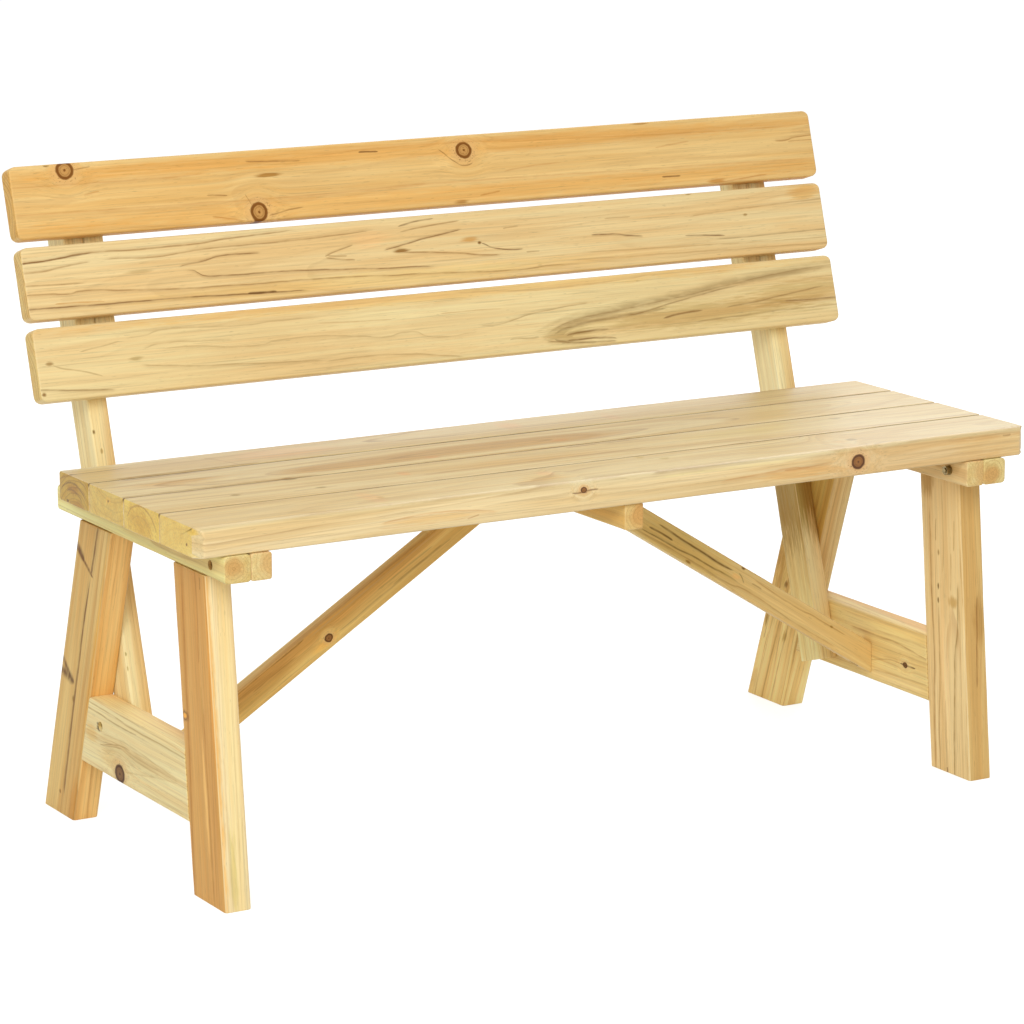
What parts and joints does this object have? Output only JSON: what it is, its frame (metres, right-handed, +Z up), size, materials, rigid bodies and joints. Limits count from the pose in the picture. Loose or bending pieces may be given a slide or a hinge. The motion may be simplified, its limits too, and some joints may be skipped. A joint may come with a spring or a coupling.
{
  "type": "garden bench",
  "caption": "Planked softwood garden bench: slab seat, leaning boarded back, splayed legs in two side frames, and long diagonal braces under the seat.",
  "frame": {"origin": "on the floor, under the middle of the whole bench", "axes": "+X along the bench's length, -Y towards the front where the sitter's legs are, +Z up"},
  "size_m": [1.104, 0.5392, 0.7654],
  "materials": {
    "seat_wood": "planed, clear oil",
    "back_wood": "planed, clear oil",
    "frame_wood": "planed, clear oil",
    "screw_steel": "zinc plated",
    "bolt_steel": "zinc plated"
  },
  "bodies": {
    "root": {"back_batten_left": "frame_wood", "back_batten_right": "frame_wood", "back_board_bottom": "back_wood", "back_board_middle": "back_wood", "back_board_top": "back_wood", "back_upright_left": "frame_wood", "back_upright_right": "frame_wood", "batten_screws": "screw_steel", "board_screws": "screw_steel", "brace_foot_screws": "screw_steel", "brace_head_screws": "screw_steel", "brace_left": "frame_wood", "brace_right": "frame_wood", "cleat_screws": "screw_steel", "frame_bolts": "bolt_steel", "frame_nuts": "bolt_steel", "frame_washers": "bolt_steel", "front_leg_left": "frame_wood", "front_leg_right": "frame_wood", "leg_screws": "screw_steel", "rear_leg_left": "frame_wood", "rear_leg_right": "frame_wood", "seat_cleat_centre": "frame_wood", "seat_cleat_left": "frame_wood", "seat_cleat_right": "frame_wood", "seat_plank_1": "seat_wood", "seat_plank_2": "seat_wood", "seat_plank_3": "seat_wood", "seat_plank_4": "seat_wood", "seat_screws": "screw_steel", "stretcher_left": "frame_wood", "stretcher_right": "frame_wood", "stretcher_screws": "screw_steel", "top_rail_left": "frame_wood", "top_rail_right": "frame_wood", "upright_screws": "screw_steel"}
  },
  "joints": []
}
